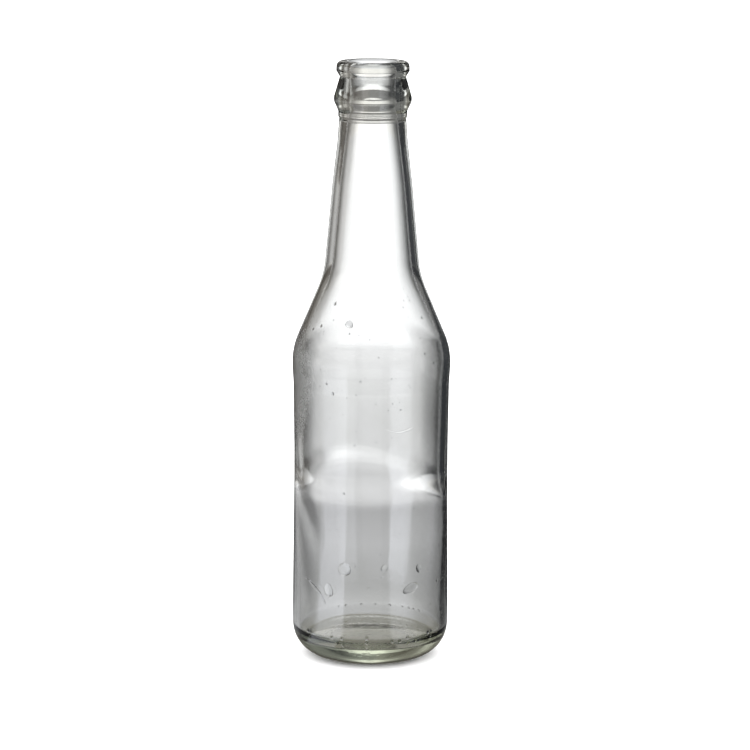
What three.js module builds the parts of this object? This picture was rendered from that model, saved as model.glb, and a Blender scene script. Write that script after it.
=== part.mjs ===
// A clear glass drinks bottle with a crown finish, moulded in one piece, and the water standing on its wall.
// Lengths are millimetres and +Z is up. The origin is on the bottle's axis, level with the ring it stands on.
// Angles around the bottle are degrees from its front, which faces -Y, and grow towards +X.

import * as THREE from 'three';

// Driving dimensions of the glass.
const HEIGHT = 220.5; // standing ring to sealing surface
const HEEL_RADIUS = 28.8; // lower contact band, where bottles touch on a filling line
const PANEL_RADIUS = 28.25; // label panel, slightly sunk between the two contact bands
const PANEL_TOP_RADIUS = 28.6; // where the panel meets the step up to the shoulder band
const SHOULDER_RADIUS = 28.97; // upper contact band
const NECK_ROOT_RADIUS = 17.6; // where the shoulder turns into the neck
const NECK_BEND_RADIUS = 14.55; // partway up the neck, where its taper steepens
const NECK_HIGH_RADIUS = 12.75; // near the top of the neck, where its taper eases
const NECK_TOP_RADIUS = 12.2; // under the collar
const COLLAR_RADIUS = 12.55; // short collar under the transfer bead, where the neck mould began
const BEAD_RADIUS = 14.15; // transfer bead below the cap's skirt
const WAIST_RADIUS = 12; // groove that the cap's skirt is crimped into
const LIP_RADIUS = 13.3; // locking lip of a 26 mm crown finish
const BORE_RADIUS = 8.7; // way in through the finish
const FLOOR_RADIUS = 24; // inside, edge of the floor where the slope to the wall begins
const RING_INNER_RADIUS = 14.6; // inner edge of the flat ring under the base
const HEEL_CORNER_RADIUS = 28.6; // where the wall would meet the table if the heel were not rounded
const PUSH_UP = 3; // height of the hollow under the base
const PUSH_UP_KNEE_RADIUS = 8.8; // where the hollow's steep edge turns into its flat top
const PUSH_UP_KNEE_HEIGHT = 2.2;

// Heights above the standing ring.
const HEEL_BAND_HEIGHT = 18;
const PANEL_HEIGHT = 72;
const PANEL_TOP_HEIGHT = 102;
const SHOULDER_BAND_HEIGHT = 108;
const SHOULDER_HEIGHT = 115.4;
const NECK_ROOT_HEIGHT = 142.6;
const NECK_BEND_HEIGHT = 175.9;
const NECK_HIGH_HEIGHT = 191.5;
const NECK_TOP_HEIGHT = 199.9;
const COLLAR_HEIGHT = 200.3;
const COLLAR_TOP_HEIGHT = 202.4;
const BEAD_LOW_HEIGHT = 205.9;
const BEAD_HIGH_HEIGHT = 207.4;
const WAIST_HEIGHT = 214.8;
const LIP_HEIGHT = 216.9;
const FLOOR_HEIGHT = 7.6; // inside, at the edge of the floor
const FLOOR_CROWN_HEIGHT = 8.8; // inside, on the axis
const WALL_FOOT_HEIGHT = 11; // inside, where the slope meets the wall
const WALL_STRAIGHT_HEIGHT = 36; // inside, where the wall stops leaning
const BORE_HEIGHT = 205.2; // inside, where the bore opens into the neck

// Glass thickness, measured level.
const BODY_WALL = 2.05;
const HEEL_WALL = 2.5;
const NECK_ROOT_WALL = 2.55;
const NECK_TOP_WALL = 2.65;

// Corner roundings of the outline.
const HEEL_ROUNDING = 12;
const WALL_FOOT_ROUNDING = 3;
const FLOOR_ROUNDING = 1;
const BAND_ROUNDING = 200;
const PANEL_ROUNDING = 1200;
const BAND_STEP_ROUNDING = 20;
const SHOULDER_ROUNDING = 26;
const NECK_ROOT_ROUNDING = 34;
const BEAD_ROUNDING = 3;
const LIP_ROUNDING = 2;
const MOUTH_ROUNDING = 1.2;
const GROOVE_ROUNDING = 0.6;
const BORE_ROUNDING = 20;
const NECK_ROUNDING = 100;

// How finely round shapes are cut.
const SIDES_AROUND = 40;
const LARGEST_TURN = THREE.MathUtils.degToRad(15);
const BEAD_SIDES = 20;
const BEAD_STEPS = 3;

// Water: distance of each bead from the glass, and the beads themselves.
const WATER_GAP = 0.3;
const WATER_BEADS = [
  { height: 38, angle: -19, width: 4.6, length: 4.4, depth: 1.1, tilt: -20 },
  { height: 39.5, angle: -13, width: 2.8, length: 2.1, depth: 0.7, tilt: 0 },
  { height: 38.8, angle: 10.5, width: 2.4, length: 3.2, depth: 0.7, tilt: -35 },
  { height: 37.5, angle: 38, width: 2.6, length: 3.3, depth: 0.8, tilt: 0 },
  { height: 30.5, angle: 31, width: 6.8, length: 3.6, depth: 1.2, tilt: 25 },
  { height: 29.6, angle: -32, width: 3.8, length: 5.2, depth: 1.1, tilt: 12 },
  { height: 28.5, angle: -44, width: 1.4, length: 9.5, depth: 0.5, tilt: 48 },
  { height: 127.5, angle: -19.5, width: 3.4, length: 2.6, depth: 0.8, tilt: -25 },
];

const glass = new THREE.MeshStandardMaterial({
  color: 0xdde4e0,
  roughness: 0.05,
  metalness: 0,
  transparent: true,
  opacity: 0.35,
});

const water = new THREE.MeshStandardMaterial({
  color: 0xe6edf0,
  roughness: 0.02,
  metalness: 0,
  transparent: true,
  opacity: 0.5,
});

// Turns corners [radius, height, rounding] into outline points, with each rounding as an arc that touches both sides.
function roundedOutline(corners) {
  const points = [];
  corners.forEach(([radius, height, rounding = 0], i) => {
    const corner = new THREE.Vector2(radius, height);
    if (rounding === 0) {
      points.push(corner);
      return;
    }
    const towardsLast = new THREE.Vector2(...corners[i - 1]).sub(corner).normalize();
    const towardsNext = new THREE.Vector2(...corners[i + 1]).sub(corner).normalize();
    const halfInside = Math.acos(towardsLast.dot(towardsNext)) / 2;
    const turn = Math.PI - 2 * halfInside;
    const middle = towardsLast.clone().add(towardsNext).normalize();
    const centre = middle.clone().multiplyScalar(rounding / Math.sin(halfInside)).add(corner);
    const side = Math.sign(towardsLast.cross(towardsNext));
    const steps = Math.max(2, Math.ceil(turn / LARGEST_TURN));
    for (let step = 0; step <= steps; step += 1) {
      const swing = side * turn * (step / steps - 0.5);
      const spoke = middle.clone().negate().rotateAround(new THREE.Vector2(), -swing);
      points.push(spoke.multiplyScalar(rounding).add(centre));
    }
  });
  return points;
}

// The outside, from under the base to the sealing surface.
function outsideCorners() {
  return [
    [0, PUSH_UP],
    [PUSH_UP_KNEE_RADIUS, PUSH_UP_KNEE_HEIGHT, HEEL_ROUNDING],
    [RING_INNER_RADIUS, 0],
    [HEEL_CORNER_RADIUS, 0, HEEL_ROUNDING],
    [HEEL_RADIUS, HEEL_BAND_HEIGHT, BAND_ROUNDING],
    [PANEL_RADIUS, PANEL_HEIGHT, PANEL_ROUNDING],
    [PANEL_TOP_RADIUS, PANEL_TOP_HEIGHT, BAND_STEP_ROUNDING],
    [SHOULDER_RADIUS, SHOULDER_BAND_HEIGHT, BAND_STEP_ROUNDING],
    [SHOULDER_RADIUS, SHOULDER_HEIGHT, SHOULDER_ROUNDING],
    [NECK_ROOT_RADIUS, NECK_ROOT_HEIGHT, NECK_ROOT_ROUNDING],
    [NECK_BEND_RADIUS, NECK_BEND_HEIGHT, NECK_ROUNDING],
    [NECK_HIGH_RADIUS, NECK_HIGH_HEIGHT, NECK_ROUNDING],
    [NECK_TOP_RADIUS, NECK_TOP_HEIGHT],
    [COLLAR_RADIUS, COLLAR_HEIGHT],
    [COLLAR_RADIUS, COLLAR_TOP_HEIGHT],
    [BEAD_RADIUS, BEAD_LOW_HEIGHT, BEAD_ROUNDING],
    [BEAD_RADIUS, BEAD_HIGH_HEIGHT, BEAD_ROUNDING],
    [WAIST_RADIUS, WAIST_HEIGHT, GROOVE_ROUNDING],
    [LIP_RADIUS, LIP_HEIGHT, GROOVE_ROUNDING],
    [LIP_RADIUS, HEIGHT, LIP_ROUNDING],
  ];
}

// The inside, from the sealing surface down to the middle of the floor.
function insideCorners() {
  const neckHighInside = NECK_HIGH_RADIUS - NECK_TOP_WALL;
  const neckBendInside = NECK_BEND_RADIUS - NECK_ROOT_WALL;
  const neckRootInside = NECK_ROOT_RADIUS - NECK_ROOT_WALL;
  const bodyInside = SHOULDER_RADIUS - BODY_WALL;
  const panelTopInside = PANEL_TOP_RADIUS - BODY_WALL;
  const heelInside = HEEL_RADIUS - HEEL_WALL;
  return [
    [BORE_RADIUS, HEIGHT, MOUTH_ROUNDING],
    [BORE_RADIUS, BORE_HEIGHT, BORE_ROUNDING],
    [neckHighInside, NECK_HIGH_HEIGHT, NECK_ROUNDING],
    [neckBendInside, NECK_BEND_HEIGHT, NECK_ROUNDING],
    [neckRootInside, NECK_ROOT_HEIGHT, NECK_ROOT_ROUNDING],
    [bodyInside, SHOULDER_HEIGHT, SHOULDER_ROUNDING],
    [bodyInside, SHOULDER_BAND_HEIGHT, BAND_STEP_ROUNDING],
    [panelTopInside, PANEL_TOP_HEIGHT, BAND_STEP_ROUNDING],
    [heelInside, WALL_STRAIGHT_HEIGHT, PANEL_ROUNDING],
    [heelInside, WALL_FOOT_HEIGHT, WALL_FOOT_ROUNDING],
    [FLOOR_RADIUS, FLOOR_HEIGHT, FLOOR_ROUNDING],
    [0, FLOOR_CROWN_HEIGHT],
  ];
}

function bottleGlass() {
  const corners = [...outsideCorners(), ...insideCorners()];
  const shape = new THREE.LatheGeometry(roundedOutline(corners), SIDES_AROUND);
  shape.rotateX(Math.PI / 2);
  const mesh = new THREE.Mesh(shape, glass);
  mesh.name = 'bottle_glass';
  return mesh;
}

// Radius of the outside at a height, and how far the wall there leans back from upright, in radians.
function wallAt(height) {
  const outline = roundedOutline([...outsideCorners(), [BORE_RADIUS, HEIGHT]]);
  const above = outline.findIndex((point) => point.y > height && point.x > RING_INNER_RADIUS);
  const low = outline[above - 1];
  const high = outline[above];
  const share = (height - low.y) / (high.y - low.y);
  return {
    radius: THREE.MathUtils.lerp(low.x, high.x, share),
    lean: Math.atan2(low.x - high.x, high.y - low.y),
  };
}

// A bead of water: a dome with a flat back, just clear of the wall behind it.
function waterBead({ height, angle, width, length, depth, tilt }, name) {
  const dome = new THREE.Path();
  dome.moveTo(0, 0);
  dome.lineTo(1, 0);
  dome.absarc(0, 0, 1, 0, Math.PI / 2);
  const shape = new THREE.LatheGeometry(dome.getPoints(BEAD_STEPS), BEAD_SIDES);
  shape.rotateX(Math.PI / 2);
  shape.scale(width / 2, length / 2, depth);

  const { radius, lean } = wallAt(height);
  const mesh = new THREE.Mesh(shape, water);
  mesh.name = name;
  mesh.position.set(0, -(radius + WATER_GAP), height);
  mesh.rotation.set(Math.PI / 2 - lean, 0, THREE.MathUtils.degToRad(tilt));

  const around = new THREE.Group();
  around.rotation.z = THREE.MathUtils.degToRad(angle);
  around.add(mesh);
  return around;
}

const bottle = new THREE.Group();
bottle.add(bottleGlass());
WATER_BEADS.forEach((bead, i) => bottle.add(waterBead(bead, `water_bead_${i + 1}`)));

export default bottle;
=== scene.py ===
"""A clear glass drinks bottle with a crown finish, wet outside, on a pale studio floor.

Lengths are metres and +Z is up. The bottle stands on the origin and its front faces -Y. Places around it
are degrees from the front, growing towards +X. Outlines are complex numbers: radius + height * 1j.
"""

import math

import bmesh
import bpy
import numpy as np
from bpy.props import FloatProperty, FloatVectorProperty, IntProperty, PointerProperty
from mathutils import Matrix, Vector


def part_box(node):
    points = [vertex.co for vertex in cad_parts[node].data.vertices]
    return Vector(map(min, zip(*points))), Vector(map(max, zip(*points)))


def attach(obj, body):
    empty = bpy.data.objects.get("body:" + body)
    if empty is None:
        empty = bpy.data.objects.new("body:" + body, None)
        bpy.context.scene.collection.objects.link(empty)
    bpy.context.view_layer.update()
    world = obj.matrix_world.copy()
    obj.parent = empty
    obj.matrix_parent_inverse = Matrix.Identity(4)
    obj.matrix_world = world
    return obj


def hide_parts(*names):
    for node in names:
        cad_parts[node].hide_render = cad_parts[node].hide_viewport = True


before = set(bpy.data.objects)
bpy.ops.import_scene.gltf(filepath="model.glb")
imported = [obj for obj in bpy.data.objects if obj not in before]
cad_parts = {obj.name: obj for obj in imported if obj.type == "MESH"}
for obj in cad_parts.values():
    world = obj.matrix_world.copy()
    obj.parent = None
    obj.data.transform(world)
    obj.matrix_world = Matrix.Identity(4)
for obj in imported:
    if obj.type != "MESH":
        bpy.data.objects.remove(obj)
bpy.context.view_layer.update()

bl_info = {
    "name": "Clear Drinks Bottle",
    "version": (1, 0, 0),
    "blender": (4, 5, 0),
    "location": "3D View > Sidebar > Bottle",
    "description": "Makes a clear long-neck bottle with water on its wall, and a studio floor for it",
    "category": "Add Mesh",
}

MM = 0.001
BODY = "root"
GLASS_NODE = "bottle_glass"
GLASS_LOW, GLASS_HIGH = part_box(GLASS_NODE)
GLASS_HEIGHT = GLASS_HIGH[2] - GLASS_LOW[2]
GLASS_RADIUS = (GLASS_HIGH[0] - GLASS_LOW[0]) / 2

# Heights above the standing ring.
HEEL_BAND_HEIGHT = 18 * MM
PANEL_HEIGHT = 72 * MM
PANEL_TOP_HEIGHT = 102 * MM
SHOULDER_BAND_HEIGHT = 108 * MM
SHOULDER_HEIGHT = 115.4 * MM
NECK_ROOT_HEIGHT = 142.6 * MM
NECK_BEND_HEIGHT = 175.9 * MM
NECK_HIGH_HEIGHT = 191.5 * MM
NECK_TOP_HEIGHT = 199.9 * MM
COLLAR_TOP_HEIGHT = 202.4 * MM
BEAD_LOW_HEIGHT = 205.9 * MM
BEAD_HIGH_HEIGHT = 207.4 * MM
WAIST_HEIGHT = 214.8 * MM
LIP_HEIGHT = 216.9 * MM
WALL_FOOT_HEIGHT = 11 * MM  # inside, where the slope from the floor meets the wall
WALL_STRAIGHT_HEIGHT = 36 * MM  # inside, where the wall stops leaning
BORE_HEIGHT = 205.2 * MM  # inside, where the bore opens into the neck

# Steps and corner roundings of the outline.
COLLAR_STEP = 0.4 * MM
PANEL_STEP = 0.35 * MM  # how far the top of the panel stands out from the rest
HEEL_ROUNDING = 12 * MM
BAND_ROUNDING = 200 * MM
PANEL_ROUNDING = 1200 * MM
BAND_STEP_ROUNDING = 20 * MM
SHOULDER_ROUNDING = 26 * MM
NECK_ROOT_ROUNDING = 34 * MM
NECK_ROUNDING = 100 * MM
BEAD_ROUNDING = 3 * MM
GROOVE_ROUNDING = 0.6 * MM
LIP_ROUNDING = 2 * MM
MOUTH_ROUNDING = 1.2 * MM
BORE_ROUNDING = 20 * MM
WALL_FOOT_ROUNDING = 3 * MM
FLOOR_ROUNDING = 1 * MM

# Raised dots that mark the heel: degrees round from the front, and height in millimetres.
HEEL_DOTS = [
    (-52.0, 12.4),
    (-50.0, 10.2),
    (-29.0, 11.8),
    (-25.0, 10.0),
    (-21.0, 11.8),
    (-20.0, 9.2),
    (-2.2, 12.4),
    (-2.2, 10.7),
    (-2.2, 9.0),
    (16.5, 11.0),
    (22.5, 11.0),
    (28.5, 12.0),
    (29.5, 9.8),
    (35.5, 10.4),
    (48.0, 12.6),
    (50.5, 11.0),
    (-154.0, 9.8),
    (-160.0, 9.8),
    (-173.0, 9.8),
    (176.0, 9.8),
    (164.0, 9.8),
    (153.0, 9.8),
    (147.0, 9.8),
    (142.0, 9.8),
    (136.0, 9.8),
]

# The wall is thinner below this line: degrees round from the front, and height in millimetres.
SETTLE_LINE = [
    (-180, 69.5),
    (-148, 70.0),
    (-110, 68.0),
    (-60, 66.5),
    (0, 66.5),
    (42, 67.0),
    (66, 65.0),
    (90, 64.0),
    (153, 65.5),
]

# Beads of water: height and place round, then width, length, depth and sag in millimetres, and tilt in
# degrees. Sag is how far the fullest part has slipped down the bead.
WATER_BEADS = {
    "water_bead_1": (38.0, -19.0, 5.4, 4.4, 1.3, 1.0, -20.0),
    "water_bead_2": (39.5, -13.0, 2.6, 1.9, 0.5, 0.3, 0.0),
    "water_bead_3": (38.8, 10.5, 2.3, 3.2, 1.0, 0.5, -35.0),
    "water_bead_4": (37.5, 38.0, 2.4, 3.3, 0.8, 0.6, 0.0),
    "water_bead_5": (30.5, 31.0, 6.6, 3.6, 1.25, 0.6, 25.0),
    "water_bead_6": (29.6, -32.0, 3.6, 5.0, 0.95, 1.0, 12.0),
    "water_bead_8": (127.5, -19.5, 3.2, 2.4, 0.4, 0.4, -25.0),
}

# The trickle: places round and heights along its run, in degrees and millimetres, and its half width there.
TRICKLE_NODE = "water_bead_7"
TRICKLE_RUN = [
    (-52.0, 31.9, 0.35),
    (-48.5, 30.6, 0.55),
    (-44.5, 29.5, 0.7),
    (-41.0, 28.5, 0.55),
    (-38.5, 27.2, 0.45),
    (-36.0, 25.6, 0.5),
    (-34.5, 24.0, 0.3),
]

# Larger specks of water: degrees round, height and width in millimetres.
WATER_SPECKS = [
    (-18.3, 124.3, 0.7),
    (-47.7, 125.9, 1.1),
    (-56.8, 124.3, 1.0),
    (-38.6, 134.0, 1.1),
    (-62.7, 119.7, 1.0),
    (-29.0, 102.5, 1.2),
    (-34.0, 105.9, 0.9),
    (-7.7, 107.6, 0.8),
    (51.0, 128.8, 0.8),
    (43.4, 116.5, 0.8),
    (51.8, 112.8, 0.9),
    (65.6, 108.8, 0.7),
    (66.0, 105.4, 0.7),
    (54.0, 92.3, 0.8),
    (-1.0, 31.0, 1.3),
    (9.0, 35.5, 0.9),
    (-55.0, 32.0, 1.0),
    (-12.0, 84.0, 0.7),
    (-20.0, 66.0, 0.8),
    (22.0, 97.0, 0.7),
    (34.0, 60.0, 0.7),
    (62.0, 44.0, 0.8),
    (58.0, 31.0, 0.9),
]


def size(name, description, millimetres):
    """One length that a user may change."""
    return FloatProperty(name=name, description=description, default=millimetres * MM, unit="LENGTH")


def share(name, description, default):
    """One plain number from 0 to 1 that a user may change."""
    limits = {"min": 0, "max": 1, "subtype": "FACTOR"}
    return FloatProperty(name=name, description=description, default=default, **limits)


def colour(name, description, default):
    """One colour that a user may change."""
    limits = {"min": 0, "max": 1, "subtype": "COLOR"}
    return FloatVectorProperty(name=name, description=description, default=default, **limits)


class BottleSizes(bpy.types.PropertyGroup):
    """Sizes of the glass."""

    height: size("Height", "Standing ring to sealing surface", GLASS_HEIGHT / MM)
    shoulder_radius: size("Shoulder radius", "Upper contact band", GLASS_RADIUS / MM)
    heel_radius: size("Heel radius", "Lower contact band", 28.8)
    panel_radius: size("Panel radius", "Label panel, slightly sunk between the bands", 28.25)
    neck_root_radius: size("Neck root radius", "Where the shoulder turns into the neck", 17.6)
    neck_bend_radius: size("Neck bend radius", "Partway up the neck, where its taper steepens", 14.55)
    neck_high_radius: size("Neck high radius", "Near the top of the neck, where its taper eases", 12.75)
    neck_top_radius: size("Neck top radius", "Under the collar", 12.2)
    collar_radius: size("Collar radius", "Short collar where the neck mould began", 12.55)
    bead_radius: size("Bead radius", "Transfer bead below the cap's skirt", 14.15)
    waist_radius: size("Waist radius", "Groove that the cap is crimped into", 12.0)
    lip_radius: size("Lip radius", "Locking lip of the crown finish", 13.3)
    bore_radius: size("Bore radius", "Way in through the finish", 8.7)
    ring_outer_radius: size("Ring outer radius", "Outer edge of the flat ring under the base", 16.7)
    ring_inner_radius: size("Ring inner radius", "Inner edge of the flat ring under the base", 14.6)
    floor_radius: size("Floor radius", "Inside, where the floor meets the slope up to the wall", 24.0)
    push_up: size("Push-up", "Height of the hollow under the base", 3.0)
    body_wall: size("Body wall", "Glass thickness at the shoulder", 2.05)
    heel_wall: size("Heel wall", "Glass thickness at the heel", 2.5)
    neck_root_wall: size("Neck root wall", "Glass thickness at the foot of the neck", 2.55)
    neck_top_wall: size("Neck top wall", "Glass thickness near the top of the neck", 2.65)
    floor_height: size("Floor height", "Inside floor at its edge", 7.6)
    floor_crown: size("Floor crown", "Inside floor on the axis", 8.8)
    seam_height: size("Seam height", "How far the mould seams stand proud", 0.06)
    seam_width: size("Seam width", "Width of the mould seams", 0.5)
    dot_height: size("Dot height", "How far the heel dots stand proud", 0.45)
    dot_radius: size("Dot radius", "Radius of the heel dots", 0.75)
    settle_step: size("Settle step", "How much thinner the wall is below its settle line", 1.25)
    settle_reach: size("Settle reach", "Height over which the wall thins", 12.0)
    fold_height: size("Fold height", "How far the slanting fold on the left stands inside", 0.4)
    ripple: size("Ripple", "Height of the slow waves inside the wall", 0.07)
    columns: IntProperty(name="Columns", description="Sides around the glass", default=168, min=24)


class GlassLook(bpy.types.PropertyGroup):
    """Colours and finish of the glass."""

    tint: colour("Tint", "What the thick glass lets through", (0.58, 0.75, 0.3))
    density: FloatProperty(name="Density", description="How strongly thick glass is tinted", default=9.0)
    bend: FloatProperty(name="Index", description="Refractive index of soda-lime glass", default=1.52)
    clean: share("Clean roughness", "Roughness of the clean wall", 0.004)
    dull: share("Dull roughness", "Roughness of the damp, dull patch", 0.3)
    worn: share("Worn roughness", "Roughness of the worn underside", 0.5)


class WaterLook(bpy.types.PropertyGroup):
    """Sizes and finish of the water."""

    gap: size("Gap", "Film of air left between the water and the glass", 0.02)
    speck_count: IntProperty(name="Fine specks", description="Specks scattered by chance", default=150)
    bend: FloatProperty(name="Index", description="Refractive index of water", default=1.333)
    body: colour("Colour", "What the water lets through", (0.985, 0.993, 1.0))


class StageSizes(bpy.types.PropertyGroup):
    """The floor, the studio round it and the camera."""

    floor_radius: size("Floor radius", "Plain floor", 6000)
    wall_radius: size("Wall radius", "Low wall of the studio", 3000)
    wall_height: size("Wall height", "Low wall of the studio", 350)
    light: FloatProperty(name="Light", description="Brightness of the even studio light", default=2.6)
    lens: FloatProperty(name="Lens", description="Focal length in millimetres", default=162.0)


# Which output of a Texture Coordinate node is the place on the object, and of a Mix node the colour.
OBJECT_OUTPUT = 3
COLOUR_OUTPUT = 2


class Socket:
    """One output of a node. Sums, products and the like on it add Math nodes."""

    def __init__(self, shade, end):
        self.shade = shade
        self.end = end

    def math(self, operation, *others):
        return self.shade.math(operation, self, *others)

    def __add__(self, other):
        return self.math("ADD", other)

    def __radd__(self, other):
        return self.math("ADD", other)

    def __sub__(self, other):
        return self.math("SUBTRACT", other)

    def __rsub__(self, other):
        return self.shade.math("SUBTRACT", other, self)

    def __mul__(self, other):
        return self.math("MULTIPLY", other)

    def __rmul__(self, other):
        return self.math("MULTIPLY", other)

    def __truediv__(self, other):
        return self.math("DIVIDE", other)

    def __abs__(self):
        return self.math("ABSOLUTE")


class Shade:
    """One node tree, with a method that adds any node."""

    def __init__(self, tree):
        self.tree = tree
        self.tree.nodes.clear()

    def node(self, kind, settings=None, sockets=None, stops=None, output=0):
        """Adds a node: its settings first, then a ramp's stops, then the values or links of its sockets."""
        made = self.tree.nodes.new(kind)
        for name, value in (settings or {}).items():
            setattr(made, name, value)
        if stops:
            self.set_stops(made.color_ramp, stops)
        for key, value in (sockets or {}).items():
            if isinstance(value, Socket):
                self.tree.links.new(value.end, made.inputs[key])
            else:
                made.inputs[key].default_value = value
        return Socket(self, made.outputs[output]) if made.outputs else made

    def set_stops(self, ramp, stops):
        """Gives a ramp its (place, grey) stops."""
        while len(ramp.elements) < len(stops):
            ramp.elements.new(1.0)
        for element, (place, grey) in zip(ramp.elements, stops):
            element.position = place
            element.color = (grey, grey, grey, 1)

    def math(self, operation, *values):
        """Works on numbers: ADD, MAXIMUM, SQRT and the like."""
        return self.node("ShaderNodeMath", {"operation": operation}, dict(enumerate(values)))

    def spot(self):
        """Place in the frame, as a vector."""
        return self.node("ShaderNodeTexCoord", output=OBJECT_OUTPUT)

    def place(self):
        """Place in the frame, as three numbers: X, Y and Z."""
        apart = self.node("ShaderNodeSeparateXYZ", sockets={0: self.spot()})
        return [Socket(self, end) for end in apart.end.node.outputs]

    def rise(self, value, low, high, start=0.0, end=1.0):
        """Goes smoothly from start to end as value goes from low to high."""
        return self.node(
            "ShaderNodeMapRange",
            {"interpolation_type": "SMOOTHSTEP", "clamp": True},
            {"Value": value, "From Min": low, "From Max": high, "To Min": start, "To Max": end},
        )

    def tinted(self, strength, tone):
        """A colour as strong as a number says."""
        return self.node("ShaderNodeVectorMath", {"operation": "SCALE"}, {0: tone, "Scale": strength})

    def joined(self, first, second):
        """Both colours added."""
        return self.node("ShaderNodeVectorMath", {"operation": "ADD"}, {0: first, 1: second})

    def blend(self, amount, first, second):
        """Goes from the first colour to the second as amount goes from 0 to 1."""
        sockets = {"Factor": amount, "A": (*first, 1), "B": (*second, 1)}
        return self.node("ShaderNodeMix", {"data_type": "RGBA"}, sockets, output=COLOUR_OUTPUT)

    def noise(self, scale, detail=2.0, vector=None):
        """Cloudy noise, from 0 to 1, with scale in bumps for each metre."""
        sockets = {"Vector": vector or self.spot(), "Scale": scale, "Detail": detail}
        return self.node("ShaderNodeTexNoise", sockets=sockets)


def new_material(name):
    """A material with an empty node tree, and that tree."""
    material = bpy.data.materials.new(name)
    material.use_nodes = True
    return material, Shade(material.node_tree)


def put_on_stage(name, mesh, material):
    """Adds an object that isn't part of the bottle."""
    thing = bpy.data.objects.new(name, mesh)
    bpy.context.scene.collection.objects.link(thing)
    mesh.materials.append(material)
    return thing


def put_on_bottle(name, mesh, material):
    """Adds a piece that goes with the bottle."""
    piece = bpy.data.objects.new(name, mesh)
    bpy.context.scene.collection.objects.link(piece)
    mesh.materials.append(material)
    mesh.shade_smooth()
    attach(piece, BODY)
    return piece


# Outline of the glass.

FINEST_TURN = math.radians(6)
LONGEST_STEP = 1.35 * MM


def rounded_outline(corners, turn=FINEST_TURN, step=LONGEST_STEP):
    """Turns corners (radius, height, rounding) into points. Each rounding is an arc between its sides."""
    points = []
    for i, (radius, height, rounding) in enumerate(corners):
        corner = complex(radius, height)
        if not rounding:
            points.append(corner)
            continue
        towards_last = complex(*corners[i - 1][:2]) - corner
        towards_next = complex(*corners[i + 1][:2]) - corner
        towards_last /= abs(towards_last)
        towards_next /= abs(towards_next)
        cross = (towards_last.conjugate() * towards_next).imag
        dot = (towards_last.conjugate() * towards_next).real
        half_inside = math.acos(dot) / 2
        whole_turn = math.pi - 2 * half_inside
        middle = towards_last + towards_next
        middle /= abs(middle)
        centre = corner + middle * rounding / math.sin(half_inside)
        count = math.ceil(max(2, whole_turn / turn, whole_turn * rounding / step))
        for part in range(count + 1):
            swing = math.copysign(whole_turn, cross) * (0.5 - part / count)
            spoke = complex(math.cos(swing), math.sin(swing))
            points.append(centre - middle * spoke * rounding)
    return fill_straights(points, step)


def fill_straights(points, step):
    """Adds even points along stretches longer than step."""
    filled = [points[0]]
    for last, following in zip(points, points[1:]):
        length = abs(following - last)
        if length < 1e-9:
            continue
        count = math.ceil(length / step)
        filled += [last + (following - last) * part / count for part in range(1, count + 1)]
    return filled


def outside_corners(s):
    """From under the base to the sealing surface."""
    return [
        (0, s.push_up, 0),
        (8.8 * MM, 2.2 * MM, 12 * MM),
        (s.ring_inner_radius, 0, 0),
        (s.heel_radius - 0.2 * MM, 0, HEEL_ROUNDING),
        (s.heel_radius, HEEL_BAND_HEIGHT, BAND_ROUNDING),
        (s.panel_radius, PANEL_HEIGHT, PANEL_ROUNDING),
        (s.panel_radius + PANEL_STEP, PANEL_TOP_HEIGHT, BAND_STEP_ROUNDING),
        (s.shoulder_radius, SHOULDER_BAND_HEIGHT, BAND_STEP_ROUNDING),
        (s.shoulder_radius, SHOULDER_HEIGHT, SHOULDER_ROUNDING),
        (s.neck_root_radius, NECK_ROOT_HEIGHT, NECK_ROOT_ROUNDING),
        (s.neck_bend_radius, NECK_BEND_HEIGHT, NECK_ROUNDING),
        (s.neck_high_radius, NECK_HIGH_HEIGHT, NECK_ROUNDING),
        (s.neck_top_radius, NECK_TOP_HEIGHT, 0),
        (s.collar_radius, NECK_TOP_HEIGHT + COLLAR_STEP, 0),
        (s.collar_radius, COLLAR_TOP_HEIGHT, 0),
        (s.bead_radius, BEAD_LOW_HEIGHT, BEAD_ROUNDING),
        (s.bead_radius, BEAD_HIGH_HEIGHT, BEAD_ROUNDING),
        (s.waist_radius, WAIST_HEIGHT, GROOVE_ROUNDING),
        (s.lip_radius, LIP_HEIGHT, GROOVE_ROUNDING),
        (s.lip_radius, s.height, LIP_ROUNDING),
        (s.bore_radius, s.height, 0),
    ]


def inside_corners(s):
    """From the sealing surface down to the middle of the floor."""
    return [
        (s.lip_radius, s.height, 0),
        (s.bore_radius, s.height, MOUTH_ROUNDING),
        (s.bore_radius, BORE_HEIGHT, BORE_ROUNDING),
        (s.neck_high_radius - s.neck_top_wall, NECK_HIGH_HEIGHT, NECK_ROUNDING),
        (s.neck_bend_radius - s.neck_root_wall, NECK_BEND_HEIGHT, NECK_ROUNDING),
        (s.neck_root_radius - s.neck_root_wall, NECK_ROOT_HEIGHT, NECK_ROOT_ROUNDING),
        (s.shoulder_radius - s.body_wall, SHOULDER_HEIGHT, SHOULDER_ROUNDING),
        (s.shoulder_radius - s.body_wall, SHOULDER_BAND_HEIGHT, BAND_STEP_ROUNDING),
        (s.panel_radius + PANEL_STEP - s.body_wall, PANEL_TOP_HEIGHT, BAND_STEP_ROUNDING),
        (s.heel_radius - s.heel_wall, WALL_STRAIGHT_HEIGHT, PANEL_ROUNDING),
        (s.heel_radius - s.heel_wall, WALL_FOOT_HEIGHT, WALL_FOOT_ROUNDING),
        (s.floor_radius, s.floor_height, FLOOR_ROUNDING),
        (0, s.floor_crown, 0),
    ]


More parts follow.
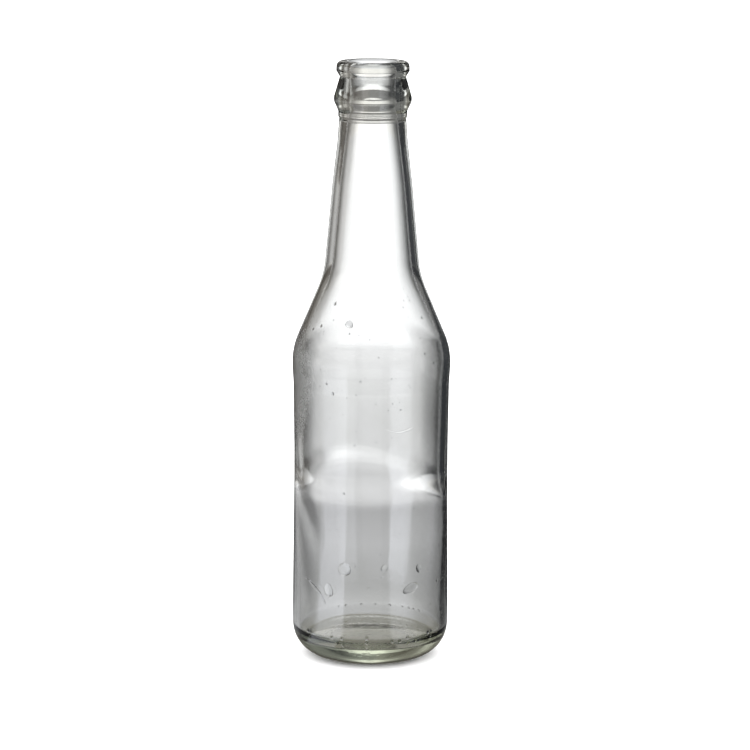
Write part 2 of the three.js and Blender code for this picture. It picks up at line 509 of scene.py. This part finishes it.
def outlines(s, turn=FINEST_TURN, step=LONGEST_STEP):
    """Outside and inside outlines, meeting on the sealing surface."""
    outside = rounded_outline(outside_corners(s), turn, step)
    inside = rounded_outline(inside_corners(s), turn, step)
    seal_radius = (s.bore_radius + s.lip_radius) / 2
    outside = [point for point in outside if point.imag < s.height - 1e-7 or point.real > seal_radius]
    inside = [point for point in inside if point.imag < s.height - 1e-7 or point.real < seal_radius]
    return np.array(outside), np.array(inside)


class Wall:
    """The outside of the glass, as a radius at any height and place round."""

    def __init__(self, s):
        fine = rounded_outline(outside_corners(s), math.radians(1), 0.5 * MM)
        upright = [point for point in fine if point.real > s.ring_outer_radius + MM or point.imag > 0.1]
        below_bead = [point for point in upright if point.imag < NECK_TOP_HEIGHT]
        self.heights = np.array([point.imag for point in below_bead])
        self.radii = np.array([point.real for point in below_bead])

    def radius(self, around, height):
        """Radius of the glass at an angle round, in radians, and a height."""
        return np.interp(height, self.heights, self.radii) + outside_wave(around, height)

    def point(self, around, height, proud=0.0):
        """Place of a point that stands proud of the glass. The front of the bottle is at angle 0."""
        radius = self.radius(around, height) + proud
        return radius * math.sin(around), -radius * math.cos(around), height


def outside_wave(around, height):
    """Slow unevenness of the outside, too slight to feel."""
    swell = np.sin(3 * around + height / (31 * MM)) + np.sin(5 * around - height / (23 * MM) + 1.3)
    return 0.012 * MM * swell * fade(height, 14 * MM, 24 * MM) * (1 - fade(height, 185 * MM, 198 * MM))


def fade(value, low, high):
    """0 below low, 1 above high and smooth between."""
    part = np.clip((value - low) / (high - low), 0, 1)
    return part * part * (3 - 2 * part)


def settle_line(around):
    """Height of the line below which the wall is thinner. It runs unevenly round the bottle."""
    places = [place for place, _ in SETTLE_LINE]
    heights = [height for _, height in SETTLE_LINE]
    degrees = np.degrees(around)
    near = [np.interp(degrees + shift, places, heights, period=360) for shift in (-10, -5, 0, 5, 10)]
    return np.mean(near, axis=0) * MM


# The slanting fold inside the wall passes this place and height, and falls this much for each degree.
FOLD_PLACE = -75
FOLD_HEIGHT = 66 * MM
FOLD_FALL = 0.5 * MM
FOLD_REACH = 7 * MM


def inside_change(s, around, height):
    """How far the inside of the wall stands in from its plain outline: slow ripples and the settle step."""
    ripple = (
        np.sin(2 * around + height / (19 * MM) + 0.4)
        + np.sin(3 * around - height / (14 * MM) + 2.1)
        + 0.6 * np.sin(5 * around + height / (11 * MM))
        + 0.5 * np.sin(7 * around - height / (27 * MM) + 4.0)
    )
    above = fade(height - settle_line(around), -s.settle_reach / 2, s.settle_reach / 2) - 0.5
    degrees = (np.degrees(around) + 180) % 360 - 180
    from_fold = (height - FOLD_HEIGHT + FOLD_FALL * (degrees - FOLD_PLACE)) / FOLD_REACH
    fold = np.exp(-(from_fold**2)) * fade(degrees, -100, -66) * (1 - fade(degrees, -58, -34))
    change = s.ripple * ripple / 2 + s.settle_step * above + s.fold_height * fold
    return change * fade(height, 16 * MM, 50 * MM) * (1 - fade(height, 88 * MM, 128 * MM))


def column_angles(s):
    """Angles round the bottle, closer together at the two mould seams."""
    even = [2 * math.pi * i / s.columns for i in range(s.columns)]
    half_seam = s.seam_width / 2 / s.heel_radius
    close = [side * math.pi / 2 + part * half_seam for side in (1, 3) for part in (-1, -0.4, 0.4, 1)]
    seams = (math.pi / 2, 1.5 * math.pi)
    clear = [angle for angle in even if min(abs(angle - seam) for seam in seams) > 1.3 * half_seam]
    return np.array(sorted(clear + close))


def outside_change(s, around, heights, radii):
    """How far the outside stands out from its outline: slow unevenness, the seams and the ring's bars."""
    from_seam = np.abs(np.arccos(np.clip(np.abs(np.sin(around)), 0, 1))) * s.heel_radius
    on_side = fade(heights, 1 * MM, 6 * MM) * (1 - fade(heights, 217 * MM, 219 * MM))
    seam = s.seam_height * (1 - fade(from_seam, 0.2 * s.seam_width, 0.55 * s.seam_width)) * on_side
    bars = 0.12 * MM * (0.5 - 0.5 * np.cos(42 * around))
    on_ring = (heights < 0.5 * MM) & (radii > s.ring_inner_radius - MM) & (radii < s.ring_outer_radius + MM)
    return outside_wave(around, heights) + seam - bars * on_ring


def outline_normals(outline):
    """Direction out of the glass at each point."""
    along = np.gradient(outline)
    normals = along / np.abs(along) * -1j
    normals[0] = -1j
    normals[-1] = 1j
    return normals


def glass_points(s):
    """Points of the glass off the axis, as rows by columns by X, Y, Z, and the heights of both poles."""
    outside, inside = outlines(s)
    outline = np.concatenate([outside, inside])
    normals = outline_normals(outline)
    around = column_angles(s)[None, :]
    heights = outline.imag[:, None]
    radii = outline.real[:, None]
    is_outside = (np.arange(len(outline)) < len(outside))[:, None]
    change = np.where(
        is_outside,
        outside_change(s, around, heights, radii),
        inside_change(s, around, heights),
    )
    moved = outline[:, None] + normals[:, None] * change
    return turn_round(moved[1:-1], around), outline[0].imag, outline[-1].imag


def turn_round(rows, around):
    """Turns outline points round the axis, into rows by columns by X, Y, Z."""
    height = rows.imag + 0 * around
    return np.stack([rows.real * np.sin(around), -rows.real * np.cos(around), height], axis=-1)


def lathe_mesh(name, points, low_pole, high_pole):
    """Joins rows of points into one closed skin, with a fan round each axis point."""
    rows, columns, _ = points.shape
    places = [(0, 0, low_pole), *map(tuple, points.reshape(-1, 3)), (0, 0, high_pole)]
    last = len(places) - 1
    faces = []
    for column in range(columns):
        beside = (column + 1) % columns
        faces.append((0, 1 + beside, 1 + column))
        for row in range(rows - 1):
            low = 1 + row * columns
            high = low + columns
            faces.append((low + column, low + beside, high + beside, high + column))
        top = 1 + (rows - 1) * columns
        faces.append((top + column, top + beside, last))
    mesh = bpy.data.meshes.new(name)
    mesh.from_pydata(places, [], faces)
    return mesh


def angle_between(first, second):
    """Signed angle from the first to the second, the short way round."""
    return (second - first + math.pi) % (2 * math.pi) - math.pi


def raise_heel_dots(s, mesh, wall):
    """Cuts the skin finely round each heel dot and raises the dot from it."""
    shape = bmesh.new()
    shape.from_mesh(mesh)
    dots = [(math.radians(angle), height * MM) for angle, height in HEEL_DOTS]
    reach = s.dot_radius + 1.3 * MM

    def from_dots(place):
        around = math.atan2(place.x, -place.y)
        radius = math.hypot(place.x, place.y)
        return min(
            math.hypot(angle_between(angle, around) * radius, place.z - height) for angle, height in dots
        )

    def on_heel(place):
        is_near = 6 * MM < place.z < 18 * MM
        return is_near and math.hypot(place.x, place.y) > wall.radius(0, place.z) - 0.3 * MM

    patch = [
        face
        for face in shape.faces
        if on_heel(face.calc_center_median()) and from_dots(face.calc_center_median()) < reach
    ]
    edges = list({edge for face in patch for edge in face.edges})
    bmesh.ops.subdivide_edges(shape, edges=edges, cuts=5, use_grid_fill=True)
    for vert in shape.verts:
        if not on_heel(vert.co) or from_dots(vert.co) > reach + 0.6 * MM:
            continue
        around = math.atan2(vert.co.x, -vert.co.y)
        lift = s.dot_height * (1 - fade(from_dots(vert.co), 0.1 * s.dot_radius, s.dot_radius))
        vert.co = wall.point(around, vert.co.z, lift)
    big = [face for face in shape.faces if len(face.verts) > 4]
    bmesh.ops.triangulate(shape, faces=big)
    shape.normal_update()
    shape.to_mesh(mesh)
    shape.free()


# Marks on the glass: degrees round from the front, and heights.
PATCH_PLACE = -84  # damp patch, on the left of the shoulder band
PATCH_HEIGHT = 103 * MM
PATCH_HALF_WIDTH = 36  # degrees
PATCH_HALF_HEIGHT = 23 * MM
SCUFFED_BAND_HEIGHT = 111 * MM
RUB_PLACE = 54  # middle of the rubbed area
RUB_HEIGHT = 46 * MM
SCRATCH_PLACE = 22
SCRATCH_HEIGHT = 88.6 * MM


def glass_material(look):
    """Clear soda-lime glass: a little tint where thick, fine scuffs, and one damp, dull patch."""
    material, shade = new_material("clear_glass")
    x, y, z = shade.place()
    around = shade.math("ARCTAN2", x, -1 * y)

    # The damp patch has a ragged edge.
    ragged = (shade.noise(240, 4) - 0.5) * 0.9 + (shade.noise(900, 2) - 0.5) * 0.5
    across = (around - math.radians(PATCH_PLACE)) / math.radians(PATCH_HALF_WIDTH)
    along = (z - PATCH_HEIGHT) / PATCH_HALF_HEIGHT
    from_patch = (across * across + along * along).math("SQRT") + ragged
    patch = shade.rise(from_patch, 0.62, 1.04, 1.0, 0.0)

    # Scuffs: short fine lines that rub along both contact bands, and one long curved scratch.
    stretch = {"Vector": shade.spot(), "Rotation": (0.5, 0.3, 0.2), "Scale": (1, 1, 7)}
    lines = shade.noise(420, 3, shade.node("ShaderNodeMapping", sockets=stretch))
    bands = shade.rise(abs(z - SCUFFED_BAND_HEIGHT), 3 * MM, 10 * MM, 1.0, 0.0)
    bands += shade.rise(z, 14 * MM, 34 * MM, 1.0, 0.0)
    from_rub = abs(around - math.radians(RUB_PLACE))
    rubbed = shade.rise(from_rub, math.radians(14), math.radians(30), 1.0, 0.0)
    rubbed *= shade.rise(abs(z - RUB_HEIGHT), 12 * MM, 24 * MM, 1.0, 0.0)
    scuffs = shade.rise(lines, 0.62, 0.72) * (0.3 + bands * 0.75 + rubbed * 1.5)
    from_scratch = around - math.radians(SCRATCH_PLACE)
    bow = from_scratch * from_scratch * 0.04
    on_bow = shade.rise(abs(z - SCRATCH_HEIGHT - bow), 0.08 * MM, 0.22 * MM, 1.0, 0.0)
    scratch = on_bow * shade.rise(abs(from_scratch), math.radians(9), math.radians(11), 1.0, 0.0)

    # The underside is dulled by the mould and by wear, inside the ring that it stands on.
    underside = shade.rise(z, 3.4 * MM, 4.2 * MM, 1.0, 0.0)
    underside *= shade.rise((x * x + y * y).math("SQRT"), 16.5 * MM, 18 * MM, 1.0, 0.0)

    film = shade.noise(55, 3)
    roughness = look.clean + patch * look.dull + scuffs * 0.02 + shade.rise(film, 0.5, 0.75) * 0.006
    roughness += underside * look.worn
    skin = shade.noise(260, 2) * 0.5 + scuffs * -0.35 + scratch * -1.4 + patch * shade.noise(2600, 2) * 1.2
    normal = shade.node("ShaderNodeBump", sockets={"Strength": 0.35, "Distance": 0.05 * MM, "Height": skin})
    smear = shade.blend(shade.rise(film, 0.45, 0.8), (1, 1, 1), (0.97, 0.972, 0.965))
    surface = shade.node(
        "ShaderNodeBsdfPrincipled",
        sockets={
            "Base Color": smear,
            "Roughness": roughness,
            "IOR": look.bend,
            "Transmission Weight": 1.0,
            "Normal": normal,
        },
    )
    absorbing = {"Color": (*look.tint, 1), "Density": look.density}
    depth = shade.node("ShaderNodeVolumeAbsorption", sockets=absorbing)
    shade.node("ShaderNodeOutputMaterial", sockets={"Surface": surface, "Volume": depth})
    return material


def water_material(look):
    """Still water with a faint unevenness on its skin."""
    material, shade = new_material("water")
    skin = shade.node(
        "ShaderNodeBump", sockets={"Strength": 0.2, "Distance": 0.02 * MM, "Height": shade.noise(900, 1)}
    )
    colours = shade.blend(shade.noise(300, 1), (1, 1, 1), look.body)
    surface = shade.node(
        "ShaderNodeBsdfPrincipled",
        sockets={
            "Base Color": colours,
            "Roughness": shade.noise(1200, 1) * 0.004,
            "IOR": look.bend,
            "Transmission Weight": 1.0,
            "Normal": skin,
        },
    )
    shade.node("ShaderNodeOutputMaterial", sockets={"Surface": surface})
    return material


class BOTTLE_OT_glass(bpy.types.Operator):
    """Make the bottle itself, in one piece of glass"""

    bl_idname = "bottle.glass"
    bl_label = "Glass"

    def execute(self, context):
        s = context.scene.bottle_sizes
        points, low_pole, high_pole = glass_points(s)
        mesh = lathe_mesh("bottle", points, low_pole, high_pole)
        raise_heel_dots(s, mesh, Wall(s))
        piece = put_on_bottle("bottle", mesh, glass_material(context.scene.bottle_glass_look))
        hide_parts(GLASS_NODE)
        return {"FINISHED"}


# Water.

BEAD_SPOKES = 36
BEAD_RINGS = 10


def closed_blob(name, tops, backs):
    """Joins rings of points, middle first, into a closed blob. Both sides share the last ring of tops."""
    shape = bmesh.new()
    front = [[shape.verts.new(place) for place in ring] for ring in tops]
    back = [[shape.verts.new(place) for place in ring] for ring in backs] + [front[-1]]
    for side, flip in ((front, False), (back, True)):
        for inner, outer in zip(side, side[1:]):
            count = len(outer)
            for i in range(count):
                beside = (i + 1) % count
                if len(inner) == 1:
                    corners = [inner[0], outer[i], outer[beside]]
                else:
                    corners = [inner[i], outer[i], outer[beside], inner[beside]]
                shape.faces.new(corners[::-1] if flip else corners)
    bmesh.ops.recalc_face_normals(shape, faces=shape.faces)
    mesh = bpy.data.meshes.new(name)
    shape.to_mesh(mesh)
    shape.free()
    return mesh


def bead_rings(wall, bead, gap, rings=BEAD_RINGS, spokes=BEAD_SPOKES):
    """Rings of points over a bead's dome and over its back, which hugs the wall."""
    height, degrees, width, length, depth, sag, tilt = bead
    centre = math.radians(degrees)
    turned = math.radians(tilt)
    radius = wall.radius(centre, height * MM)

    def on_wall(reach, spoke, lift):
        wavy = 1 + 0.06 * math.sin(2 * spoke + centre * 5) + 0.04 * math.sin(3 * spoke + height)
        across = reach * width / 2 * math.cos(spoke) * wavy
        along = reach * length / 2 * math.sin(spoke) * wavy
        across *= 1 - 0.16 * math.sin(spoke) * reach
        slipped = -sag * (1 - reach**2)
        side = across * math.cos(turned) - (along + slipped) * math.sin(turned)
        up = across * math.sin(turned) + (along + slipped) * math.cos(turned)
        return wall.point(centre + side * MM / radius, (height + up) * MM, gap + lift * MM)

    def thickness(reach, spoke):
        hang = (1 - reach * math.sin(spoke)) / 2
        return depth * (1 - reach**2) ** 0.6 * (0.3 + 1.1 * hang)

    steps = [math.sin(math.pi / 2 * ring / rings) for ring in range(rings + 1)]
    tops = []
    backs = []
    for reach in steps:
        around = [0.0] if reach == 0 else [2 * math.pi * i / spokes for i in range(spokes)]
        tops.append([on_wall(reach, spoke, thickness(reach, spoke)) for spoke in around])
        backs.append([on_wall(reach, spoke, 0.0) for spoke in around])
    return tops, backs[:-1]


def trickle_mesh(wall, gap):
    """A thin run of water down the wall, round in section and rounded off at both ends."""
    run = np.array(TRICKLE_RUN)
    steps = np.linspace(0, len(run) - 1, 49)
    around = np.radians(np.interp(steps, range(len(run)), smooth(run[:, 0])))
    heights = np.interp(steps, range(len(run)), smooth(run[:, 1])) * MM
    ends = np.sqrt(np.clip(1 - np.abs(steps / steps[-1] * 2 - 1) ** 6, 0, 1))
    halves = np.interp(steps, range(len(run)), run[:, 2]) * MM * ends
    shape = bmesh.new()
    sides = 12
    rings = []
    for i in range(1, len(steps) - 1):
        radius = wall.radius(around[i], heights[i])
        along = complex((around[i + 1] - around[i - 1]) * radius, heights[i + 1] - heights[i - 1])
        across = along / abs(along) * 1j
        ring = []
        for side in range(2 * sides):
            swing = math.pi * side / sides
            offset = across * math.cos(swing) * halves[i]
            lift = max(math.sin(swing), 0) * halves[i] * 0.62
            place = wall.point(around[i] + offset.real / radius, heights[i] + offset.imag, gap + lift)
            ring.append(shape.verts.new(place))
        rings.append(ring)
    for last, following in zip(rings, rings[1:]):
        for side in range(2 * sides):
            beside = (side + 1) % (2 * sides)
            shape.faces.new((last[side], last[beside], following[beside], following[side]))
    shape.faces.new(rings[0])
    shape.faces.new(rings[-1])
    bmesh.ops.remove_doubles(shape, verts=shape.verts, dist=1e-7)
    bmesh.ops.recalc_face_normals(shape, faces=shape.faces)
    mesh = bpy.data.meshes.new("trickle")
    shape.to_mesh(mesh)
    shape.free()
    return mesh


def smooth(values):
    """Softens the corners of a run of values and keeps both ends."""
    soft = values.copy()
    soft[1:-1] = (values[:-2] + 2 * values[1:-1] + values[2:]) / 4
    return soft


def speck_list(look):
    """The larger specks as listed, and many fine ones scattered by chance."""
    chance = np.random.default_rng(12)
    specks = list(WATER_SPECKS)
    for _ in range(look.speck_count):
        degrees = chance.uniform(-180, 180)
        height = chance.choice([chance.uniform(16, 60), chance.uniform(84, 136)])
        specks.append((degrees, height, chance.uniform(0.22, 0.55)))
    return specks


def specks_mesh(wall, look):
    """Every speck of water, each a small closed dome, in one mesh."""
    shape = bmesh.new()
    for degrees, height, width in speck_list(look):
        bead = (height, degrees, width, width * 1.15, width * 0.3, width * 0.1, 0.0)
        single = closed_blob("speck", *bead_rings(wall, bead, look.gap, rings=4, spokes=12))
        shape.from_mesh(single)
        bpy.data.meshes.remove(single)
    mesh = bpy.data.meshes.new("water_specks")
    shape.to_mesh(mesh)
    shape.free()
    return mesh


class BOTTLE_OT_water(bpy.types.Operator):
    """Make the beads of water, the trickle and the fine specks on the wall"""

    bl_idname = "bottle.water"
    bl_label = "Water"

    def execute(self, context):
        look = context.scene.bottle_water_look
        wall = Wall(context.scene.bottle_sizes)
        material = water_material(look)
        for node, bead in WATER_BEADS.items():
            mesh = closed_blob(node, *bead_rings(wall, bead, look.gap))
            piece = put_on_bottle(node + "_drop", mesh, material)
            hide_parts(node)
        trickle = put_on_bottle("water_trickle", trickle_mesh(wall, look.gap), material)
        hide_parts(TRICKLE_NODE)
        put_on_bottle("water_specks", specks_mesh(wall, look), material)
        return {"FINISHED"}


# Studio.

CAMERA_DISTANCE = 5.541 * GLASS_HEIGHT
CAMERA_HEIGHT = 1.485 * GLASS_HEIGHT
CAMERA_ASIDE = 0.0061 * GLASS_HEIGHT
CAMERA_PITCH = math.radians(10.323)
CAMERA_ROLL = math.radians(0.32)

# Brightness of the table and sweep, by millimetres from the bottle's axis. The dim stops out to the
# bottle's edge are painted shadow under the bottle.
OUTWARD = [
    (0, 0.22),
    (28, 0.23),
    (46, 0.52),
    (60, 0.62),
    (75, 0.56),
    (95, 0.47),
    (120, 0.5),
    (155, 0.54),
    (190, 0.5),
    (220, 0.46),
    (255, 0.53),
    (320, 0.7),
    (380, 0.76),
    (430, 0.77),
    (480, 0.8),
    (520, 0.89),
    (575, 0.92),
    (625, 1.1),
    (700, 1.25),
    (1000, 1.3),
]

# Share of that brightness left at each side of a strip that runs away from the bottle, in millimetres.
ACROSS = [
    (-200, 0.03),
    (-160, 0.12),
    (-118, 0.36),
    (-86, 0.5),
    (-70, 0.72),
    (-58, 0.87),
    (-44, 0.97),
    (-30, 1.0),
    (32, 1.0),
    (46, 0.93),
    (58, 0.8),
    (76, 0.62),
    (97, 0.42),
    (128, 0.16),
    (170, 0.04),
    (200, 0.03),
]

# Brightness round the studio by degrees from +X towards +Y: the near side of the table, and two lamps.
NEAR_SIDE = [
    (0, 0.03),
    (180, 0.03),
    (194, 0.45),
    (284, 0.45),
    (287, 0.05),
    (296, 0.05),
    (300, 0.5),
    (330, 0.5),
    (334, 0.03),
    (360, 0.03),
]
LAMPS = [
    (0, 0.0),
    (192, 0.0),
    (196, 0.75),
    (234, 0.85),
    (235, 0.0),
    (296, 0.0),
    (297, 0.38),
    (318, 0.34),
    (332, 0.0),
    (360, 0.0),
]
LAMP_POWER = 1.8
MOST_LIGHT = 3.0  # brightest place in the studio; a ramp and a colour hold at most 1
FARTHEST = 1000  # millimetres; the table is even beyond it
WIDEST = 400  # millimetres across a strip


def surround_material(sizes):
    """What the glass shows and mirrors, as glowing painted light and shade that is no lamp: a grey table
    with painted shadow under the bottle, pale strips over it, lamps and a dim room.
    """
    material, shade = new_material("studio_surround")
    x, y, z = shade.place()
    turns = (shade.math("ARCTAN2", y, x) / (2 * math.pi)).math("FRACT")
    out = (x * x + y * y).math("SQRT")

    def ramp(value, stops):
        return shade.node("ShaderNodeValToRGB", sockets={"Fac": value}, stops=stops)

    def ring(stops):
        return ramp(turns, [(degrees / 360, grey) for degrees, grey in stops])

    # Each strip widens as it runs away.
    widening = shade.rise(out, 0.0, 0.42, 0.38, 1.0) + shade.rise(out, 0.7, 1.0) * (out * 2.17 - 1)

    def strip(side, ahead):
        places = side / widening / (WIDEST * MM) + 0.5
        share_across = ramp(places, [(place / WIDEST + 0.5, grey) for place, grey in ACROSS])
        return share_across * shade.rise(ahead, -0.03, 0.03)

    half = math.sqrt(0.5)
    back = strip(x, y)
    back_left = strip((x + y) * half, (y - x) * half) * shade.rise(out, 0.3, 0.5, 0.75, 0.38)
    left = strip(y, -1 * x) * shade.rise(out, 0.12, 0.4)
    strips = back.math("MAXIMUM", back_left).math("MAXIMUM", left).math("MAXIMUM", ring(NEAR_SIDE))

    outward = [(place / FARTHEST, grey / LAMP_POWER) for place, grey in OUTWARD]
    table = ramp(out / (FARTHEST * MM), outward) * LAMP_POWER
    # Painted shadow under the bottle: a dim, warm patch on the table out to the bottle's edge.
    under = shade.rise(out, 0.026, 0.046, 1.0, 0.0)
    lamps = ring(LAMPS) * shade.rise(out, 0.03, 0.036) * shade.rise(out, 0.22, 0.55, LAMP_POWER, 0.5)

    # The strips carry on up the low wall, and the left one stays bright to the top of it.
    tall_left = left * shade.rise(z, 0.3, 0.6, 1.1, 0.2)
    horizon = (strips * shade.rise(z, 0.04, 0.15, 1.3, 0.22)).math("MAXIMUM", tall_left) + 0.02

    # The dome: one pale card across it, above the strips, and the lamps' glow high up.
    card = shade.rise(z, 0.58, 0.7) * shade.rise(z, 1.0, 1.2, 1.0, 0.0) * strips * 0.8
    climb = (z - sizes.wall_height) / sizes.wall_radius
    room = 0.15 + shade.rise(climb, 0.0, 0.6, 0.15, 0.0) * strips + card
    room += ring(LAMPS) * shade.rise(climb, 0.4, 0.8)
    warm = shade.rise(x, -0.04, -0.3, 0.0, 0.03)
    cool = shade.rise(x, 0.04, 0.3, 0.0, 0.012)

    on_wall = shade.rise(z, 0.0, 0.02)
    in_room = shade.rise(z, sizes.wall_height - 0.06, sizes.wall_height + 0.12)
    on_table = 1 - on_wall
    parts = [
        # The first part is the painted shadow under the bottle.
        (table * under * on_table, (1.0, 0.97, 0.82)),
        (table * (1 - under) * strips * on_table, (0.985, 0.99, 1.01)),
        (lamps * on_table, (0.93, 0.96, 1.06)),
        (horizon * on_wall * (1 - in_room), (1.0, 0.99, 0.975)),
        (room * in_room, (1.0, 0.985, 0.96)),
        (warm, (1.25, 0.95, 0.65)),
        (cool, (0.75, 0.95, 1.25)),
    ]
    light = shade.tinted(*parts[0])
    for strength, tone in parts[1:]:
        light = shade.joined(light, shade.tinted(strength, tone))
    share_of_most = shade.tinted(1 / MOST_LIGHT, light)
    glow = shade.node("ShaderNodeEmission", sockets={"Color": share_of_most, "Strength": MOST_LIGHT})
    shade.node("ShaderNodeOutputMaterial", sockets={"Surface": glow})
    material.cycles.emission_sampling = "NONE"
    return material


def floor_material():
    """Plain pale board with a very slight mottle."""
    material, shade = new_material("pale_floor")
    mottle = shade.blend(shade.noise(3, 2), (0.95, 0.95, 0.95), (0.94, 0.94, 0.94))
    surface = shade.node("ShaderNodeBsdfPrincipled", sockets={"Base Color": mottle, "Roughness": 0.9})
    shade.node("ShaderNodeOutputMaterial", sockets={"Surface": surface})
    return material


def surround_mesh(sizes):
    """A flat disc, an upright ring of cards round it and a dome over both."""
    reach = sizes.wall_radius
    top = sizes.wall_height
    profile = [complex(reach * part / 24, 0) for part in range(1, 25)]
    profile += [complex(reach, top * part / 12) for part in range(1, 13)]
    rise = 2.0
    profile += [
        complex(reach * math.cos(swing), top + rise * math.sin(swing))
        for swing in [math.pi / 2 * part / 24 for part in range(1, 24)]
    ]
    around = np.linspace(0, 2 * math.pi, 180, endpoint=False)[None, :]
    rows = np.array(profile)[:, None]
    return lathe_mesh("studio_surround", turn_round(rows, around), 0.0, top + rise)


def disc_mesh(name, radius):
    """A flat round sheet."""
    shape = bmesh.new()
    bmesh.ops.create_circle(shape, cap_ends=True, radius=radius, segments=96)
    mesh = bpy.data.meshes.new(name)
    shape.to_mesh(mesh)
    shape.free()
    return mesh


def add_camera(scene, sizes):
    """Looks at the bottle from the front and a little above."""
    data = bpy.data.cameras.new("camera")
    data.lens = sizes.lens
    data.sensor_width = 36
    data.clip_end = 100
    camera = bpy.data.objects.new("camera", data)
    camera.location = (CAMERA_ASIDE, -CAMERA_DISTANCE, CAMERA_HEIGHT)
    camera.rotation_mode = "QUATERNION"
    down = math.pi / 2 - CAMERA_PITCH
    camera.rotation_quaternion = (
        Matrix.Rotation(down, 4, "X") @ Matrix.Rotation(CAMERA_ROLL, 4, "Z")
    ).to_quaternion()
    scene.collection.objects.link(camera)
    scene.camera = camera


def light_the_world(scene, brightness):
    """Even white light from all round."""
    world = bpy.data.worlds.new("studio_light")
    world.use_nodes = True
    shade = Shade(world.node_tree)
    glow = shade.node("ShaderNodeBackground", sockets={"Color": (1, 1, 1, 1), "Strength": brightness})
    shade.node("ShaderNodeOutputWorld", sockets={"Surface": glow})
    scene.world = world


class BOTTLE_OT_stage(bpy.types.Operator):
    """Make the floor, the studio round it, the light and the camera"""

    bl_idname = "bottle.stage"
    bl_label = "Stage"

    def execute(self, context):
        scene = context.scene
        sizes = scene.bottle_stage
        floor = put_on_stage("floor", disc_mesh("floor", sizes.floor_radius), floor_material())
        floor.visible_transmission = False
        floor.visible_glossy = False
        # The surround glows as painted light and shade, seen only in the glass's reflections and
        # refractions.
        surround = put_on_stage("studio_surround", surround_mesh(sizes), surround_material(sizes))
        surround.location.z = -0.2 * MM
        surround.visible_camera = False
        surround.visible_diffuse = False
        surround.visible_shadow = False
        surround.visible_volume_scatter = False
        light_the_world(scene, sizes.light)
        add_camera(scene, sizes)
        scene.view_settings.view_transform = "Standard"
        return {"FINISHED"}


class BOTTLE_PT_panel(bpy.types.Panel):
    """Buttons for each part of the bottle"""

    bl_idname = "BOTTLE_PT_panel"
    bl_label = "Drinks Bottle"
    bl_space_type = "VIEW_3D"
    bl_region_type = "UI"
    bl_category = "Bottle"

    def draw(self, context):
        for operator in OPERATORS:
            self.layout.operator(operator.bl_idname)
        for group in SETTINGS:
            settings = getattr(context.scene, group)
            box = self.layout.box()
            for name in settings.__annotations__:
                box.prop(settings, name)


OPERATORS = (BOTTLE_OT_stage, BOTTLE_OT_glass, BOTTLE_OT_water)
SETTINGS = {
    "bottle_sizes": BottleSizes,
    "bottle_glass_look": GlassLook,
    "bottle_water_look": WaterLook,
    "bottle_stage": StageSizes,
}
CLASSES = (*SETTINGS.values(), *OPERATORS, BOTTLE_PT_panel)


def register():
    for one in CLASSES:
        bpy.utils.register_class(one)
    for name, group in SETTINGS.items():
        setattr(bpy.types.Scene, name, PointerProperty(type=group))


def unregister():
    for name in SETTINGS:
        delattr(bpy.types.Scene, name)
    for one in reversed(CLASSES):
        bpy.utils.unregister_class(one)


def main():
    register()
    bpy.ops.bottle.stage()
    bpy.ops.bottle.glass()
    bpy.ops.bottle.water()


if __name__ == "__main__":
    main()
